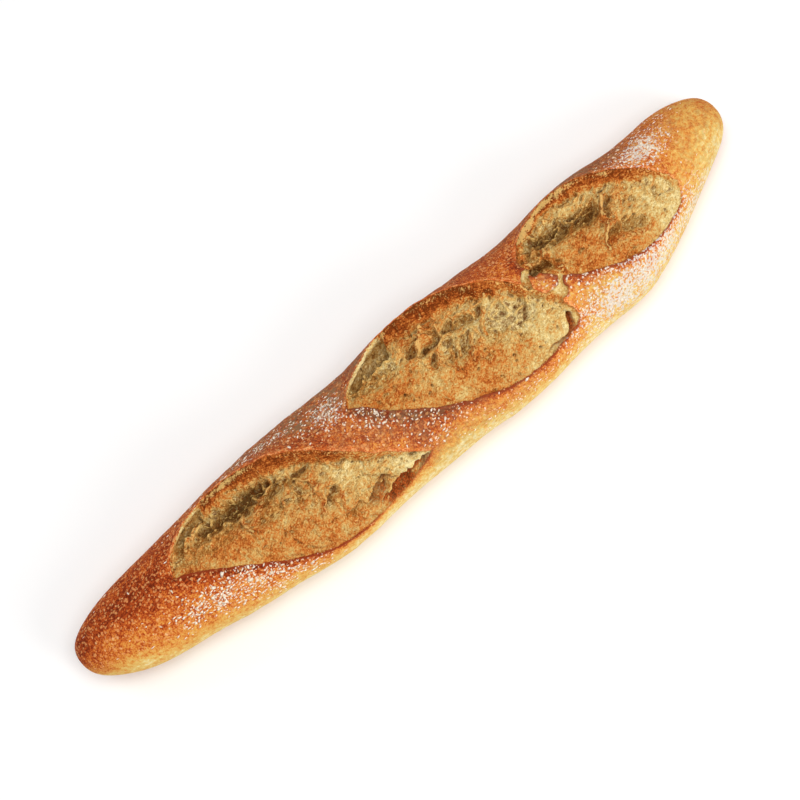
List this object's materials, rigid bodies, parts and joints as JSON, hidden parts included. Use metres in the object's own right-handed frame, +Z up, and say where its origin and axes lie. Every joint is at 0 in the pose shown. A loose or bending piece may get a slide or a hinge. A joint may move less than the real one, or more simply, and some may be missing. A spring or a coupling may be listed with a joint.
{
  "type": "baguette",
  "caption": "Short crusty wheat loaf with diagonal slashes that opened in baking, floured crust and rough open crumb.",
  "frame": {"origin": "under the middle of the loaf, on the flat sole", "axes": "+X along the loaf, +Z up, +Y towards the side on which the raised lips of the slashes stand"},
  "size_m": [0.43, 0.0762, 0.0562],
  "materials": {
    "crust": "matt baked crust, reddish brown to golden, with pale flour; straw-coloured rough crumb in the slashes",
    "flour": "dull white flour specks on the crust"
  },
  "bodies": {
    "root": {"loaf": "crust"}
  },
  "joints": []
}
